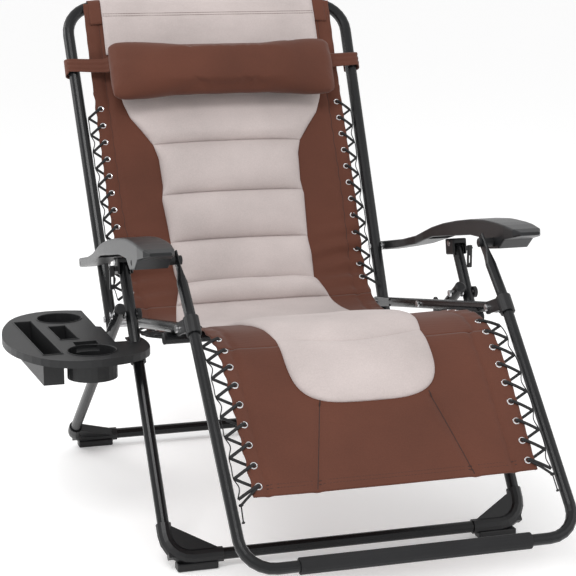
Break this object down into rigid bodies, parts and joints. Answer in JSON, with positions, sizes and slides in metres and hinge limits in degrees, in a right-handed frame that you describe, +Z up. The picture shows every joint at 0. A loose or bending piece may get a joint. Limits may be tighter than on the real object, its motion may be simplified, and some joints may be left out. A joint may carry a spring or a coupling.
{
  "type": "zero gravity recliner",
  "caption": "Folding reclining lounge chair with a laced fabric sling, quilted pad, armrests, headrest pillow and a clip-on side tray.",
  "frame": {"origin": "middle of the overall footprint, tray included, on the floor under the feet", "axes": "+Z up, the sitter faces -Y, +X is to the sitter's left, metres"},
  "size_m": [0.9574, 1.358, 0.9723],
  "materials": {
    "base_paint": "satin charcoal powder coat on bent steel tube",
    "boot_plastic": "black moulded plastic with a fine grain",
    "fastener_steel": "plated steel bolts, washers and rods",
    "armrest_plastic": "dark grey moulded plastic with a soft sheen",
    "sling_fabric": "brown woven polyester",
    "pad_fabric": "pale pinkish beige quilted polyester",
    "foam_sleeve": "black foam grip sleeve",
    "elastic_cord": "black elastic cord",
    "tray_plastic": "dark grey grained plastic"
  },
  "bodies": {
    "front_legs": {"front_leg_frame": "base_paint", "tray": "tray_plastic", "tray_clip": "tray_plastic", "front_boot_left": "boot_plastic", "front_boot_right": "boot_plastic", "leg_bolt_left": "fastener_steel", "leg_bolt_right": "fastener_steel", "leg_bolt_cap_left": "boot_plastic", "leg_bolt_cap_right": "boot_plastic", "leg_washer_left": "fastener_steel", "leg_washer_right": "fastener_steel", "lock_pin_left": "fastener_steel", "lock_pin_right": "fastener_steel"},
    "rear_legs": {"rear_leg_frame": "base_paint", "rear_boot_left": "boot_plastic", "rear_boot_right": "boot_plastic", "rear_leg_plug_left": "boot_plastic", "rear_leg_plug_right": "boot_plastic", "seat_pivot_bolt_left": "fastener_steel", "seat_pivot_bolt_right": "fastener_steel"},
    "seat": {"seat_cross_tube": "base_paint", "seat_sling": "sling_fabric", "seat_pad": "pad_fabric", "seat_rail_left": "base_paint", "seat_rail_right": "base_paint", "cross_tube_plug_left": "boot_plastic", "cross_tube_plug_right": "boot_plastic", "hip_bolt_left": "fastener_steel", "hip_bolt_right": "fastener_steel", "knee_bolt_left": "fastener_steel", "knee_bolt_right": "fastener_steel"},
    "back": {"back_frame": "base_paint", "back_sling": "sling_fabric", "back_pad": "pad_fabric", "back_plug_left": "boot_plastic", "back_plug_right": "boot_plastic", "back_lacing_left": "elastic_cord", "back_lacing_right": "elastic_cord", "arm_pin_left": "fastener_steel", "arm_pin_right": "fastener_steel"},
    "pillow": {"headrest_pillow": "sling_fabric", "pillow_strap_left": "sling_fabric", "pillow_strap_right": "sling_fabric"},
    "leg_rest": {"leg_rest_frame": "base_paint", "foot_sleeve": "foam_sleeve", "leg_sling": "sling_fabric", "knee_bracket_left": "boot_plastic", "knee_bracket_right": "boot_plastic", "leg_lacing_left": "elastic_cord", "leg_lacing_right": "elastic_cord"},
    "armrest_body_left": {"armrest_left": "armrest_plastic", "slide_rod_left": "fastener_steel", "arm_axle_left": "boot_plastic"},
    "lock_body_left": {"lock_housing_left": "boot_plastic"},
    "lever_body_left": {"lock_lever_left": "boot_plastic"},
    "armrest_body_right": {"armrest_right": "armrest_plastic", "slide_rod_right": "fastener_steel", "arm_axle_right": "boot_plastic"},
    "lock_body_right": {"lock_housing_right": "boot_plastic"},
    "lever_body_right": {"lock_lever_right": "boot_plastic"}
  },
  "joints": [
    {"name": "fold", "type": "hinge", "parent": "front_legs", "child": "rear_legs", "pos_m": [0.09044, -0.01785, 0.413], "axis": [-1, 0, 0], "range_deg": [0, 70]},
    {"name": "recline", "type": "hinge", "parent": "rear_legs", "child": "seat", "pos_m": [0.09044, 0.06308, 0.37706], "axis": [-1, 0, 0], "range_deg": [0, 20.5]},
    {"name": "hip", "type": "hinge", "parent": "seat", "child": "back", "pos_m": [0.09044, 0.31838, 0.32906], "axis": [1, 0, 0], "range_deg": [0, 54.62]},
    {"name": "knee", "type": "hinge", "parent": "seat", "child": "leg_rest", "pos_m": [0.09044, -0.29291, 0.44398], "axis": [1, 0, 0], "range_deg": [0, 54.62]},
    {"name": "pillow_slide", "type": "slide", "parent": "back", "child": "pillow", "axis": [0, 0.4819, 0.8762], "range_m": [-0.05, 0.02]},
    {"name": "armrest_left_pivot", "type": "hinge", "parent": "back", "child": "armrest_body_left", "pos_m": [0.42044, 0.37944, 0.44008], "axis": [-1, 0, 0], "range_deg": [0, 54.62]},
    {"name": "lock_left_pivot", "type": "hinge", "parent": "front_legs", "child": "lock_body_left", "pos_m": [0.44744, 0.04651, 0.50267], "axis": [-1, 0, 0], "range_deg": [0, 70.02]},
    {"name": "lever_left", "type": "hinge", "parent": "lock_body_left", "child": "lever_body_left", "pos_m": [0.44744, 0.0325, 0.49309], "axis": [1, 0, 0], "range_deg": [0, 25]},
    {"name": "armrest_right_pivot", "type": "hinge", "parent": "back", "child": "armrest_body_right", "pos_m": [-0.23956, 0.37944, 0.44008], "axis": [-1, 0, 0], "range_deg": [0, 54.62]},
    {"name": "lock_right_pivot", "type": "hinge", "parent": "front_legs", "child": "lock_body_right", "pos_m": [-0.24156, 0.04651, 0.50267], "axis": [-1, 0, 0], "range_deg": [0, 70.02]},
    {"name": "lever_right", "type": "hinge", "parent": "lock_body_right", "child": "lever_body_right", "pos_m": [-0.24156, 0.0325, 0.49309], "axis": [1, 0, 0], "range_deg": [0, 25]}
  ],
  "couplings": [
    {"joint": "hip", "follows": "fold", "ratio": 0.78},
    {"joint": "knee", "follows": "fold", "ratio": 0.78},
    {"joint": "armrest_left_pivot", "follows": "fold", "ratio": 0.78},
    {"joint": "lock_left_pivot", "follows": "fold", "ratio": 1},
    {"joint": "armrest_right_pivot", "follows": "fold", "ratio": 0.78},
    {"joint": "lock_right_pivot", "follows": "fold", "ratio": 1}
  ]
}
